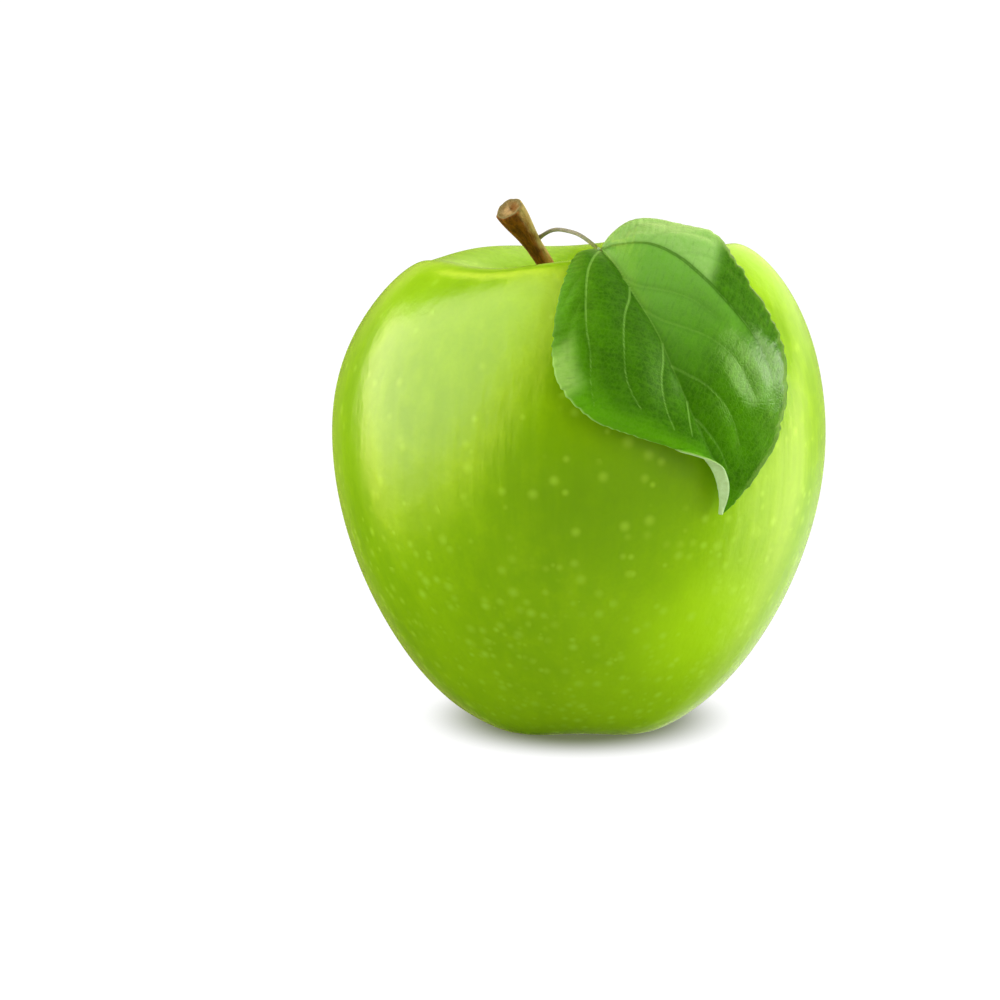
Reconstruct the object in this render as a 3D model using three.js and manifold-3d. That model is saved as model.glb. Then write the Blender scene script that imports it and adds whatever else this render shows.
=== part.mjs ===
// A green apple as picked: the fruit, its woody stem, one leaf on a thin stalk that springs
// from the stem, and the dried calyx in the hollow of the base.
// Millimetres, +Z up. The origin is under the middle of the whole, on the surface it rests on.

import * as THREE from 'three';
import { mergeVertices } from 'three/addons/utils/BufferGeometryUtils.js';
import Module from 'manifold-3d';

// ---- driving dimensions ----

// Fruit: a conical green apple, widest above the middle.
const FRUIT_WIDTH = 80;
const FRUIT_HEIGHT = 76.3;
const WIDEST_HEIGHT = 46.8;
const FOOT_RADIUS = 14.6;          // ring of the base that touches the surface
const FOOT_WIDTH = 2;              // of the level band along that ring
const CREST_RADIUS = 25;           // ring of the crown, round the stem cavity
const CAVITY_DEPTH = 14;
const BASIN_DEPTH = 7;
const SOCKET_RADIUS = 2.2;         // where the stem and the calyx are rooted
const SOCKET_DEPTH = 3;
const CROWN_TILT = new THREE.Vector2(0.055, -0.05);    // rise of the crown per mm across
const CROWN_LOBE = 0.5;            // rise of the crown's swellings and fall of its hollows
const LEAN = 0.1;
const LOBES = 5;
const LOBE_PHASE = THREE.MathUtils.degToRad(19);       // azimuth of a foot bump and a crown hollow
const FOOT_LOBE = 0.7;             // rise of the foot between its five bumps
const FOOT_FLAT = 0.35;            // how far each bump is pressed flat
const FOOT_FADE = 12;              // height at which the foot's lobes have died out

// Reach of the section's curve handles, from the rings above.
const BASIN_FLOOR_HANDLE = 5.8;
const BASIN_WALL_HANDLE = 4;
const FOOT_HANDLE = 5.4;
const LOWER_SIDE_HANDLE = 25.9;
const UPPER_SIDE_HANDLE = 18.3;
const SHOULDER_HANDLE = 4;
const CAVITY_EDGE_HANDLE = 8;
const CAVITY_FLOOR_HANDLE = new THREE.Vector2(4, 4.2);

// Stem: curved, swollen and cut off square at its end.
const STEM_RADIUS = 1.5;
const STEM_ROOT_RADIUS = 1.05;
const STEM_END_RADIUS = 2.35;
const STEM_SWELL_FROM = 0.7;        // place along the stem where its end begins to swell
const STEM_PATH = [[0, 0, 60], [0.2, 0, 67], [-6.9, -3.5, 77.3], [-11.2, -8, 84.1]];

// Leaf stalk: springs from the side of the stem and arches over to the leaf.
const STALK_RADIUS = 0.45;
const STALK_START = 0.76;          // place along the stem
const STALK_END_GAP = 0.4;         // to the leaf's base
const STALK_SIDE = new THREE.Vector3(0.85, 0.45, 0.25).normalize();
const STALK_ARCH = [[-4.9, -6, 80.3], [-3.6, -8.5, 80.9], [-2.1, -12, 81.1], [-0.4, -16, 81],
  [1.2, -20.3, 80.4]];

// Leaf: drawn flat, [across, along] from its base, then laid over the shoulder of the fruit.
const LEAF_THICKNESS = 0.6;
const RIB = [[0, 0], [-0.9, 4], [-1.8, 12], [-1.7, 20], [-1.8, 27], [-1.3, 34], [0, 40], [1.2, 45.5],
  [0, 50.5]];
const LEFT_MARGIN = [[-0.5, 0.1], [-4.5, -0.2], [-9.2, 3], [-14.7, 8.5], [-18.9, 14.4], [-20, 20.5],
  [-17.4, 27], [-12.4, 32], [-6.6, 36.6], [-3.4, 40.5], [-2, 45.5], [-0.3, 50.4]];
const RIGHT_MARGIN = [[0.5, 0], [4, -2], [11, -4.2], [16.6, -2.2], [18.9, 5], [18.4, 12.6], [18.9, 20],
  [20.6, 28], [18.9, 35.5], [13.8, 42.5], [5.7, 48.3], [0.3, 50.6]];
const TEETH = 22;
const TOOTH_DEPTH = 0.45;
const TOOTH_PEAK = 0.75;           // a tooth leans towards the tip
const TOOTH_RUN_IN = 0.08;         // share of the leaf over which the teeth fade at each end
const TOOTH_HALF_WIDTH = 4;        // teeth fade where the half is narrower than this
const RIB_CLEARANCE = [1.8, 2.1, 2.3, 2.6, 2.5, 2.8];    // base to tip, height over the skin
const LEFT_RISE = [0, 0.4, -0.3, -0.3, 0.2, 0];         // base to tip, margin over the rib
const RIGHT_RISE = [0, 4.8, 2.6, 1.3, 0.7, 0];
const RISE_POWER = 1.5;            // how late across the half the rise comes
const SWELL = [0, 1.1, 1.5, 1.2, 0.2, 0];              // base to tip, swelling halfway to the margin
const ROLL_ANGLE = THREE.MathUtils.degToRad(150);      // left margin turned up near the tip
const ROLL_FROM = 0.73;            // place along the leaf where the roll begins
const ROLL_OVER = 0.09;            // length of its run-in, as a share of the leaf
const ROLL_BEND = [0.3, 0.62];     // share of the half-width that bends

// Where the leaf lies: its base and lean in a plan wrapped round the fruit's middle.
const LEAF_AZIMUTH = THREE.MathUtils.degToRad(-60);
const LEAF_ELEVATION = THREE.MathUtils.degToRad(32);
const LEAF_WRAP_RADIUS = 46;
const LEAF_BASE = new THREE.Vector2(-12, 17.6);
const LEAF_LEAN = THREE.MathUtils.degToRad(14.6);
const FRUIT_MIDDLE = 45;           // height of the point the leaf is wrapped round

// Calyx: five dried sepals round a stub.
const SEPAL_PATH = [[0.8, 1.1], [4.55, 1.3], [5.2, 4.6]];    // [out from the axis, down from the floor]
const SEPAL_WIDTH = 3;
const SEPAL_THICKNESS = 0.6;
const SEPAL_SAG = 0.3;             // fall of a sepal's edges at its tip
const SEPAL_ROWS = 7;
const STUB = [[0, 3.2], [0.7, 3.2], [1.1, 2.3], [1.5, 1.2]];  // [radius, down from the basin floor]
const PLUG_RADIUS = 1.85;

const GAP = 0.3;                   // left between pieces that touch

// Facets
const ROUND = 50;
const ARC_STEPS = [6, 13, 9, 8];
const LEAF_ROWS = 3 * TEETH;
const LEAF_COLUMNS = [0, 0.2, 0.36, 0.46, 0.56, 0.76, 1];

// ---- small helpers ----

const toV2 = ([x, y]) => new THREE.Vector2(x, y);
const toV3 = ([x, y, z]) => new THREE.Vector3(x, y, z);
const smooth = (t) => THREE.MathUtils.smoothstep(t, 0, 1);

// A smooth graph through evenly spaced values.
function graph(values) {
  const curve = new THREE.SplineCurve(values.map((v, i) => new THREE.Vector2(i, v)));
  return (t) => curve.getPoint(t).y;
}

function moveVertices(geometry, place) {
  const position = geometry.attributes.position;
  const v = new THREE.Vector3();
  for (let i = 0; i < position.count; i += 1) {
    v.fromBufferAttribute(position, i);
    const moved = place(v);
    position.setXYZ(i, moved.x, moved.y, moved.z);
  }
  return geometry;
}

// A thin closed blade from a grid of points: grid[row][column], both faces split alike.
function bladeGeometry(grid, thickness) {
  const rows = grid.length;
  const columns = grid[0].length;
  const at = (i, j) => grid[THREE.MathUtils.clamp(i, 0, rows - 1)][THREE.MathUtils.clamp(j, 0, columns - 1)];
  const positions = [];
  for (const side of [1, -1]) {
    for (let i = 0; i < rows; i += 1) {
      for (let j = 0; j < columns; j += 1) {
        const along = at(i + 1, j).clone().sub(at(i - 1, j));
        const across = at(i, j + 1).clone().sub(at(i, j - 1));
        const normal = across.cross(along).normalize();
        const p = at(i, j).clone().addScaledVector(normal, side * thickness / 2);
        positions.push(p.x, p.y, p.z);
      }
    }
  }
  const indices = [];
  const back = rows * columns;
  const quad = (a, b, c, d) => indices.push(a, b, c, a, c, d);
  for (let i = 0; i < rows - 1; i += 1) {
    for (let j = 0; j < columns - 1; j += 1) {
      const a = i * columns + j;
      const b = a + 1;
      const c = b + columns;
      const d = a + columns;
      quad(a, b, c, d);
      indices.push(back + a, back + c, back + b, back + a, back + d, back + c);
    }
  }
  const rim = [];
  for (let j = 0; j < columns - 1; j += 1) rim.push(j);
  for (let i = 0; i < rows - 1; i += 1) rim.push(i * columns + columns - 1);
  for (let j = columns - 1; j > 0; j -= 1) rim.push((rows - 1) * columns + j);
  for (let i = rows - 1; i > 0; i -= 1) rim.push(i * columns);
  rim.forEach((a, k) => {
    const b = rim[(k + 1) % rim.length];
    quad(b, a, back + a, back + b);
  });
  const geometry = new THREE.BufferGeometry();
  geometry.setAttribute('position', new THREE.Float32BufferAttribute(positions, 3));
  geometry.setIndex(indices);
  geometry.computeVertexNormals();
  return geometry;
}

function subPart(name, geometry, material) {
  const mesh = new THREE.Mesh(geometry, material);
  mesh.name = name;
  return mesh;
}

// ---- fruit ----

const FRUIT_RADIUS = FRUIT_WIDTH / 2;

// Half the section through the axis, from the calyx basin round to the stem cavity.
const footInner = FOOT_RADIUS - FOOT_WIDTH / 2;
const footOuter = FOOT_RADIUS + FOOT_WIDTH / 2;
const cavityFloor = FRUIT_HEIGHT - CAVITY_DEPTH;
const MERIDIAN = [
  [[SOCKET_RADIUS, BASIN_DEPTH], [SOCKET_RADIUS + BASIN_FLOOR_HANDLE, BASIN_DEPTH],
    [footInner - BASIN_WALL_HANDLE, 0], [footInner, 0]],
  [[footOuter, 0], [footOuter + FOOT_HANDLE, 0], [FRUIT_RADIUS, WIDEST_HEIGHT - LOWER_SIDE_HANDLE],
    [FRUIT_RADIUS, WIDEST_HEIGHT]],
  [[FRUIT_RADIUS, WIDEST_HEIGHT], [FRUIT_RADIUS, WIDEST_HEIGHT + UPPER_SIDE_HANDLE],
    [CREST_RADIUS + SHOULDER_HANDLE, FRUIT_HEIGHT], [CREST_RADIUS, FRUIT_HEIGHT]],
  [[CREST_RADIUS, FRUIT_HEIGHT], [CREST_RADIUS - CAVITY_EDGE_HANDLE, FRUIT_HEIGHT],
    [SOCKET_RADIUS + CAVITY_FLOOR_HANDLE.x, cavityFloor + CAVITY_FLOOR_HANDLE.y],
    [SOCKET_RADIUS, cavityFloor]],
].map((points) => new THREE.CubicBezierCurve(...points.map(toV2)));

// The crooked growth that turns the round section into a real fruit. The leaf follows it too.
function grow(p) {
  const crown = smooth((p.z - WIDEST_HEIGHT) / (FRUIT_HEIGHT - WIDEST_HEIGHT));
  const radius = Math.hypot(p.x, p.y);
  const lobes = Math.cos(LOBES * (Math.atan2(p.y, p.x) - LOBE_PHASE));
  const tilt = CROWN_TILT.x * p.x + CROWN_TILT.y * p.y;
  const crownLobe = -CROWN_LOBE * Math.min(radius / CREST_RADIUS, 1) * lobes;
  const foot = (1 - smooth(p.z / FOOT_FADE)) * Math.min(radius / FOOT_RADIUS, 1);
  const footRise = foot * (FOOT_LOBE * (1 - lobes) / 2 - FOOT_FLAT);
  const x = p.x + LEAN * smooth(p.z / WIDEST_HEIGHT);
  const z = p.z + crown * (tilt + crownLobe) + footRise;
  return new THREE.Vector3(x, p.y, Math.max(z, 0));
}

function fruitGeometry() {
  const section = [new THREE.Vector2(0, BASIN_DEPTH + SOCKET_DEPTH),
    new THREE.Vector2(SOCKET_RADIUS, BASIN_DEPTH + SOCKET_DEPTH)];
  MERIDIAN.forEach((arc, k) => section.push(...arc.getPoints(ARC_STEPS[k]).slice(k > 1 ? 1 : 0)));
  section.push(new THREE.Vector2(SOCKET_RADIUS, cavityFloor - SOCKET_DEPTH));
  section.push(new THREE.Vector2(0, cavityFloor - SOCKET_DEPTH));
  const lathe = new THREE.LatheGeometry(section, ROUND);
  lathe.rotateX(Math.PI / 2);
  return moveVertices(lathe, grow);
}

// ---- stem ----

const STEM_CURVE = new THREE.CubicBezierCurve3(...STEM_PATH.map(toV3));

function stemRadius(t) {
  const swelling = smooth((t - STEM_SWELL_FROM) / (1 - STEM_SWELL_FROM));
  const shaft = THREE.MathUtils.lerp(STEM_ROOT_RADIUS, STEM_RADIUS, t);
  return THREE.MathUtils.lerp(shaft, STEM_END_RADIUS, swelling);
}

function stemGeometry() {
  const steps = 16;
  const rod = new THREE.CylinderGeometry(1, 1, 1, 20, steps);
  return moveVertices(rod, (v) => {
    const t = v.y + 0.5;
    const axis = STEM_CURVE.getTangent(t);
    const side = new THREE.Vector3(0, 1, 0).cross(axis).normalize();
    const front = axis.clone().cross(side);
    const p = STEM_CURVE.getPoint(t);
    return p.addScaledVector(side, v.x * stemRadius(t)).addScaledVector(front, -v.z * stemRadius(t));
  });
}

// ---- leaf ----

// Distance from the fruit's middle to its skin at each slope, level over the stem cavity.
const SKIN = MERIDIAN.slice(1, 3).flatMap((arc) => arc.getPoints(40)).map((p) => ({
  slope: Math.atan2(p.y - FRUIT_MIDDLE, p.x),
  reach: Math.hypot(p.x, p.y - FRUIT_MIDDLE),
}));

function skinReach(slope) {
  const next = SKIN.findIndex((point) => point.slope > slope);
  if (next < 0) return (FRUIT_HEIGHT - FRUIT_MIDDLE) / Math.sin(slope);
  const a = SKIN[next - 1];
  const b = SKIN[next];
  return THREE.MathUtils.mapLinear(slope, a.slope, b.slope, a.reach, b.reach);
}

const LEAF_OUT = new THREE.Vector3(
  Math.cos(LEAF_ELEVATION) * Math.cos(LEAF_AZIMUTH),
  Math.cos(LEAF_ELEVATION) * Math.sin(LEAF_AZIMUTH),
  Math.sin(LEAF_ELEVATION),
);
const LEAF_EAST = new THREE.Vector3(-Math.sin(LEAF_AZIMUTH), Math.cos(LEAF_AZIMUTH), 0);
const LEAF_NORTH = LEAF_OUT.clone().cross(LEAF_EAST);

// A point of the plan, wrapped round the fruit and held clear of its skin.
function drape(east, north, clearance) {
  const length = Math.max(Math.hypot(east, north), 1e-6);
  const angle = length / LEAF_WRAP_RADIUS;
  const direction = LEAF_OUT.clone().multiplyScalar(Math.cos(angle))
    .addScaledVector(LEAF_EAST, Math.sin(angle) * east / length)
    .addScaledVector(LEAF_NORTH, Math.sin(angle) * north / length);
  const slope = Math.atan2(direction.z, Math.hypot(direction.x, direction.y));
  direction.multiplyScalar(skinReach(slope) + clearance);
  direction.z += FRUIT_MIDDLE;
  return grow(direction);
}

const RIB_CURVE = new THREE.SplineCurve(RIB.map(toV2));
const SIDES = {
  left: { curve: new THREE.SplineCurve(LEFT_MARGIN.map(toV2)), rise: graph(LEFT_RISE), turn: ROLL_ANGLE },
  right: { curve: new THREE.SplineCurve(RIGHT_MARGIN.map(toV2)), rise: graph(RIGHT_RISE), turn: 0 },
};
const ribClearance = graph(RIB_CLEARANCE);
const swell = graph(SWELL);

// The rolled margin: flat, then an arc, then flat again. Shares of the half-width.
function roll(u, turn) {
  const [from, to] = ROLL_BEND;
  const angle = Math.max(turn, 1e-6);
  const radius = (to - from) / angle;
  const turned = angle * THREE.MathUtils.clamp((u - from) / (to - from), 0, 1);
  const rest = Math.max(u - to, 0);
  return {
    across: Math.min(u, from) + radius * Math.sin(turned) + rest * Math.cos(angle),
    up: radius * (1 - Math.cos(turned)) + rest * Math.sin(angle),
  };
}

// s runs from the base to the tip, u from the rib to the margin.
function leafPoint(s, u, side) {
  const rib = RIB_CURVE.getPoint(s);
  const half = side.curve.getPoint(s).sub(rib);
  const width = half.length();
  const phase = (s * TEETH) % 1;
  const tooth = phase < TOOTH_PEAK ? phase / TOOTH_PEAK : (1 - phase) / (1 - TOOTH_PEAK);
  const fade = Math.min(s / TOOTH_RUN_IN, (1 - s) / TOOTH_RUN_IN, width / TOOTH_HALF_WIDTH, 1);
  half.setLength(width - TOOTH_DEPTH * (1 - tooth) * fade);
  const bend = roll(u, side.turn * smooth((s - ROLL_FROM) / ROLL_OVER));
  const p = rib.addScaledVector(half, bend.across);
  const cos = Math.cos(LEAF_LEAN);
  const sin = Math.sin(LEAF_LEAN);
  const east = LEAF_BASE.x + p.x * cos + p.y * sin;
  const north = LEAF_BASE.y + p.x * sin - p.y * cos;
  const fold = side.rise(s) * u ** RISE_POWER + swell(s) * 4 * u * (1 - u);
  return drape(east, north, ribClearance(s) + fold + width * bend.up);
}

function leafGeometry() {
  const grid = [];
  for (let i = 0; i <= LEAF_ROWS; i += 1) {
    const s = i / LEAF_ROWS;
    const left = LEAF_COLUMNS.slice(1).reverse().map((u) => leafPoint(s, u, SIDES.left));
    const right = LEAF_COLUMNS.map((u) => leafPoint(s, u, SIDES.right));
    grid.push([...left, ...right]);
  }
  return bladeGeometry(grid.reverse(), LEAF_THICKNESS);
}

// ---- leaf stalk ----

function stalkGeometry() {
  const root = STEM_CURVE.getPoint(STALK_START);
  root.addScaledVector(STALK_SIDE, stemRadius(STALK_START) + GAP + STALK_RADIUS);
  const leafBase = leafPoint(0, 0, SIDES.right);
  const ribWay = leafPoint(1 / LEAF_ROWS, 0, SIDES.right).sub(leafBase).normalize();
  const end = leafBase.addScaledVector(ribWay, -STALK_END_GAP);
  const path = new THREE.CatmullRomCurve3([root, ...STALK_ARCH.map(toV3), end], false, 'catmullrom', 0.5);
  const section = new THREE.Shape().absarc(0, 0, STALK_RADIUS, 0, 2 * Math.PI);
  const options = { steps: 26, curveSegments: 8, bevelEnabled: false, extrudePath: path };
  return new THREE.ExtrudeGeometry(section, options);
}

// ---- calyx ----

const wasm = await Module();
wasm.setup();

function toSolid(geometry) {
  const bare = geometry.index ? geometry.clone() : geometry;
  bare.deleteAttribute('normal');
  bare.deleteAttribute('uv');
  const merged = mergeVertices(bare, 1e-4);
  const mesh = new wasm.Mesh({
    numProp: 3,
    vertProperties: merged.attributes.position.array,
    triVerts: new Uint32Array(merged.index.array),
  });
  return new wasm.Manifold(mesh);
}

function fromSolid(solid) {
  const mesh = solid.getMesh();
  const geometry = new THREE.BufferGeometry();
  geometry.setAttribute('position', new THREE.Float32BufferAttribute(mesh.vertProperties, 3));
  geometry.setIndex(Array.from(mesh.triVerts));
  geometry.computeVertexNormals();
  return geometry;
}

// One sepal: spreads from the stub under the basin floor and curls down at its pointed tip.
function sepalGeometry(azimuth) {
  const grid = [];
  const path = new THREE.QuadraticBezierCurve(...SEPAL_PATH.map(toV2));
  for (let i = 0; i <= SEPAL_ROWS; i += 1) {
    const t = i / SEPAL_ROWS;
    const p = path.getPoint(t);
    const half = 0.5 * SEPAL_WIDTH * Math.cos(t * 1.35) * (0.75 + 0.5 * t);
    const row = [-1, 0, 1].map((k) => {
      const turned = new THREE.Vector3(p.x, k * half, BASIN_DEPTH - p.y - SEPAL_SAG * k * k * t);
      return turned.applyAxisAngle(new THREE.Vector3(0, 0, 1), azimuth);
    });
    grid.push(row);
  }
  return bladeGeometry(grid.reverse(), SEPAL_THICKNESS);
}

function calyxGeometry() {
  const top = BASIN_DEPTH + SOCKET_DEPTH - GAP;
  const hanging = STUB.map(([radius, down]) => [radius, BASIN_DEPTH - down]);
  const stub = [...hanging, [PLUG_RADIUS, BASIN_DEPTH], [PLUG_RADIUS, top], [0, top]];
  const lathe = new THREE.LatheGeometry(stub.map(toV2), 20);
  lathe.rotateX(Math.PI / 2);
  let solid = toSolid(lathe);
  for (let k = 0; k < LOBES; k += 1) {
    const azimuth = LOBE_PHASE + (k + 0.5) * 2 * Math.PI / LOBES;
    solid = solid.add(toSolid(sepalGeometry(azimuth)));
  }
  return fromSolid(solid);
}

// ---- materials ----

const skin = new THREE.MeshStandardMaterial({ color: 0x8abe0f, roughness: 0.3, metalness: 0 });
const bark = new THREE.MeshStandardMaterial({ color: 0x5a3a16, roughness: 0.8, metalness: 0 });
const stalkGreen = new THREE.MeshStandardMaterial({ color: 0x7d8a4a, roughness: 0.6, metalness: 0 });
const leafGreen = new THREE.MeshStandardMaterial({ color: 0x3f7a14, roughness: 0.45, metalness: 0 });
const driedSepal = new THREE.MeshStandardMaterial({ color: 0x4a3826, roughness: 0.9, metalness: 0 });

// ---- the apple ----

const apple = new THREE.Group();
apple.name = 'green_apple';
apple.add(subPart('fruit', fruitGeometry(), skin));
apple.add(subPart('stem', stemGeometry(), bark));
apple.add(subPart('leaf_stalk', stalkGeometry(), stalkGreen));
apple.add(subPart('leaf_blade', leafGeometry(), leafGreen));
apple.add(subPart('calyx', calyxGeometry(), driedSepal));

const middle = new THREE.Box3().setFromObject(apple).getCenter(new THREE.Vector3());
apple.position.set(-middle.x, -middle.y, 0);

export default apple;
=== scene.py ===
"""A green apple, its woody stem and one leaf on a thin stalk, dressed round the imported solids.

Shapes are worked out in millimetres in the fruit's own frame (axis at x = y = 0), with the same
driving sizes as the solids, then moved to the row's frame and scaled to metres.
"""
from math import cos, pi, radians, sin

import bpy
import numpy as np
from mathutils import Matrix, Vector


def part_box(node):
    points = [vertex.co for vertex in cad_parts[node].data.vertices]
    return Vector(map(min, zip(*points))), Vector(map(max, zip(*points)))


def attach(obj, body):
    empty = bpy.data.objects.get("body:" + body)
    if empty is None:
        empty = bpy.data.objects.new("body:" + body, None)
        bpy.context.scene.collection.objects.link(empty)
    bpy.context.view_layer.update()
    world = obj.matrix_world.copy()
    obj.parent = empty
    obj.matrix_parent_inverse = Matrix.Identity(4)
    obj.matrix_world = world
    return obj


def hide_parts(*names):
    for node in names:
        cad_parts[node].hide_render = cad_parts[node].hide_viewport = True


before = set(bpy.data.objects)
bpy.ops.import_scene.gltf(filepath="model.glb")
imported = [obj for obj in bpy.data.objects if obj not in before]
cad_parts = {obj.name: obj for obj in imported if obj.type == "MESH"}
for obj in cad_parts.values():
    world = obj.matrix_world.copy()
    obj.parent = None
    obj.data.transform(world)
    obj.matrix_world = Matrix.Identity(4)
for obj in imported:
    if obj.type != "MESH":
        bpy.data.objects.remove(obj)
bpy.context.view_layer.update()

rng = np.random.default_rng(7)
MM = 0.001

# ---- fruit ----
# Sizes in mm. A handle is the length of a Bezier arm of the section.
FRUIT_RADIUS = 40.0
FRUIT_HEIGHT = 76.3
WIDEST_HEIGHT = 46.8
FOOT_RADIUS = 14.6
FOOT_WIDTH = 2.0
CREST_RADIUS = 25.0
CAVITY_DEPTH = 14.0
BASIN_DEPTH = 7.0
SOCKET_RADIUS = 2.2
# Rise of the crown for each mm to the right and each mm back.
CROWN_TILT = (0.055, -0.05)
CROWN_LOBE = 0.5
LEAN = 0.1
LOBES = 5
LOBE_PHASE = radians(19)
FOOT_LOBE = 0.7
FOOT_FLAT = 0.35
FOOT_FADE = 12.0
BASIN_FLOOR_HANDLE = 5.8
BASIN_WALL_HANDLE = 4.0
FOOT_HANDLE = 5.4
LOWER_SIDE_HANDLE = 25.9
UPPER_SIDE_HANDLE = 18.3
SHOULDER_HANDLE = 4.0
CAVITY_EDGE_HANDLE = 8.0
CAVITY_FLOOR_HANDLE = (4.0, 4.2)
SKIN_UNEVENNESS = 0.07

# ---- stem and leaf stalk ----
STEM_PATH = [(0, 0, 60), (0.2, 0, 67), (-6.9, -3.5, 77.3), (-11.2, -8, 84.1)]
STEM_ROOT_RADIUS = 1.05
STEM_RADIUS = 1.5
STEM_END_RADIUS = 2.35
# Rings of the cut end: share of its radius, and height over the end of the stem's axis.
CUT_END_RINGS = [(0.94, 0.16), (0.84, 0.2), (0.74, 0.12), (0.62, -0.02), (0.45, -0.12), (0.25, -0.16),
                 (0.12, -0.1)]
STALK_START = 0.76
STALK_SIDE = (0.85, 0.45, 0.25)
STALK_RADIUS = 0.32
STALK_ARCH = [(-4.9, -6, 80.3), (-3.6, -8.5, 80.9), (-2.1, -12, 81.1), (-0.4, -16, 81),
              (1.2, -20.3, 80.4)]

# ---- leaf, drawn flat as (across, along) from its base ----
LEAF_THICKNESS = 0.34
RIB = [(0, 0), (-0.9, 4), (-1.8, 12), (-1.7, 20), (-1.8, 27), (-1.3, 34), (0, 40), (1.2, 45.5), (0, 50.5)]
LEFT_MARGIN = [(-0.5, 0.1), (-4.5, -0.2), (-9.2, 3), (-14.7, 8.5), (-18.9, 14.4), (-20, 20.5),
               (-17.4, 27), (-12.4, 32), (-6.6, 36.6), (-3.4, 40.5), (-2, 45.5), (-0.3, 50.4)]
RIGHT_MARGIN = [(0.5, 0), (4, -2), (11, -4.2), (16.6, -2.2), (18.9, 5.0), (18.4, 12.6), (18.9, 20),
                (20.6, 28), (18.9, 35.5), (13.8, 42.5), (5.7, 48.3), (0.3, 50.6)]
# Teeth: their number along the leaf, their depth, how far along each its peak is, the share of the leaf over
# which they grow in, and the half-width of the leaf under which they fade.
TEETH = 44
TOOTH_DEPTH = 0.35
TOOTH_PEAK = 0.75
TOOTH_RUN_IN = 0.08
TOOTH_HALF_WIDTH = 4.0
# Small notches of the right margin: place along the leaf, reach each way as a share of it, depth in mm.
NOTCHES = [(0.3, 0.03, 0.3), (0.39, 0.02, 0.3), (0.47, 0.02, 0.4), (0.53, 0.035, 0.7), (0.6, 0.02, 0.3),
           (0.7, 0.025, 0.4), (0.78, 0.02, 0.3), (0.86, 0.03, 0.4), (0.93, 0.02, 0.3)]
# Heights from the base to the tip: the rib over the skin, each margin over the rib, and the swelling of
# each half.
RIB_CLEARANCE = [1.8, 2.1, 2.3, 2.6, 2.5, 2.8]
LEFT_RISE = [0, 0.4, -0.3, -0.3, 0.2, 0]
RIGHT_RISE = [0, 4.8, 2.6, 1.3, 0.7, 0]
RISE_POWER = 1.5
SWELL = [0, 1.1, 1.5, 1.2, 0.2, 0]
# The left margin rolls over near the tip: how far it turns, from where along the leaf, over what share of
# it, and between which shares of the half-width it bends.
ROLL_ANGLE = radians(150)
ROLL_FROM = 0.73
ROLL_OVER = 0.09
ROLL_BEND = (0.3, 0.62)
# Where the leaf lies: the direction of its plan's middle from the fruit's, the radius that it's wrapped
# round, and the place of its base and its lean on the plan.
LEAF_AZIMUTH = radians(-60)
LEAF_ELEVATION = radians(32)
LEAF_WRAP_RADIUS = 46.0
LEAF_BASE = (-12.0, 17.6)
LEAF_LEAN = radians(14.6)
FRUIT_MIDDLE = 45.0
# Relief of the blade: depth and half-width of the grooves on the rib and the veins, the swelling between
# them, how far from them it is full, a random unevenness, and the keel under the rib.
RIB_GROOVE = (0.16, 0.8)
VEIN_GROOVE = (0.07, 0.7)
PILLOW_RISE = 0.15
PILLOW_REACH = 3.4
LEAF_UNEVENNESS = 0.06
RIB_KEEL = (0.5, 0.7)
# Side veins, each from the rib outwards.
VEINS = [
    [(-0.5, 1), (-4.4, 3.7), (-6.9, 6), (-9.4, 9.4), (-11.9, 13.6), (-13.5, 17.8), (-15.4, 21.6),
     (-16.4, 25)],
    [(-1.8, 11), (-3.4, 13), (-5.8, 15.3), (-8.1, 19), (-10, 23.3), (-10.3, 26.3), (-9.8, 29)],
    [(-1.7, 21.5), (-3.1, 24), (-4.5, 26), (-5.5, 28.5), (-5.9, 31.2), (-5.6, 34)],
    [(-1.5, 31), (-2.4, 33.4), (-2.8, 36)],
    [(0.2, 1), (2.1, 3.2), (5, 5.6), (7.4, 9.6), (9.1, 14.4), (10.5, 18.8), (12.4, 23.3), (14.2, 27.7),
     (15, 31.5)],
    [(-1.7, 9), (-0.4, 11.6), (2.8, 14.6), (5.6, 17.6), (8, 21.6)],
    [(-1.7, 15.6), (-0.3, 18), (1.6, 20.1), (5, 23.4), (7.6, 26.7), (9.2, 30), (10.4, 34)],
    [(-1.8, 25.2), (0.2, 27.6), (2.1, 29.7), (3.7, 32.2), (4.8, 34.5), (5.5, 37.1), (5.8, 40.4)],
    [(-0.9, 34), (0.6, 37), (1.9, 40), (2.6, 43.4)],
    [(-9.4, 9.4), (-12.4, 10.8), (-15, 13.2), (-17, 16.6)],
    [(-6.9, 6), (-9.6, 6.2), (-12.4, 8)],
    [(5, 5.6), (8.6, 4.6), (12, 5.6), (15.6, 8.6)],
    [(2.1, 3.2), (6, 0.4), (10, -1), (13.6, -0.4)],
    [(7.4, 9.6), (11, 11), (14, 13.8), (16.6, 17.8)],
    [(9.1, 14.4), (12.4, 17), (15, 20.4), (17.4, 25)],
]

# ---- calyx ----
# A sepal's path as (out from the axis, down from the basin's floor).
SEPAL_PATH = [(0.8, 1.1), (4.55, 1.3), (5.2, 4.6)]
SEPAL_WIDTH = 3.0
SEPAL_THICKNESS = 0.3
STUB_RADIUS = 1.7
STUB_TAPER = 0.9
STUB_LENGTH = 4.2
STUB_SUNK = 1.2
STAMENS = 11
STAMEN_LENGTH = 1.9
STAMEN_DROP = 2.6
STAMEN_RADIUS = 0.1
ANTHER_SWELLING = 0.08

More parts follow.
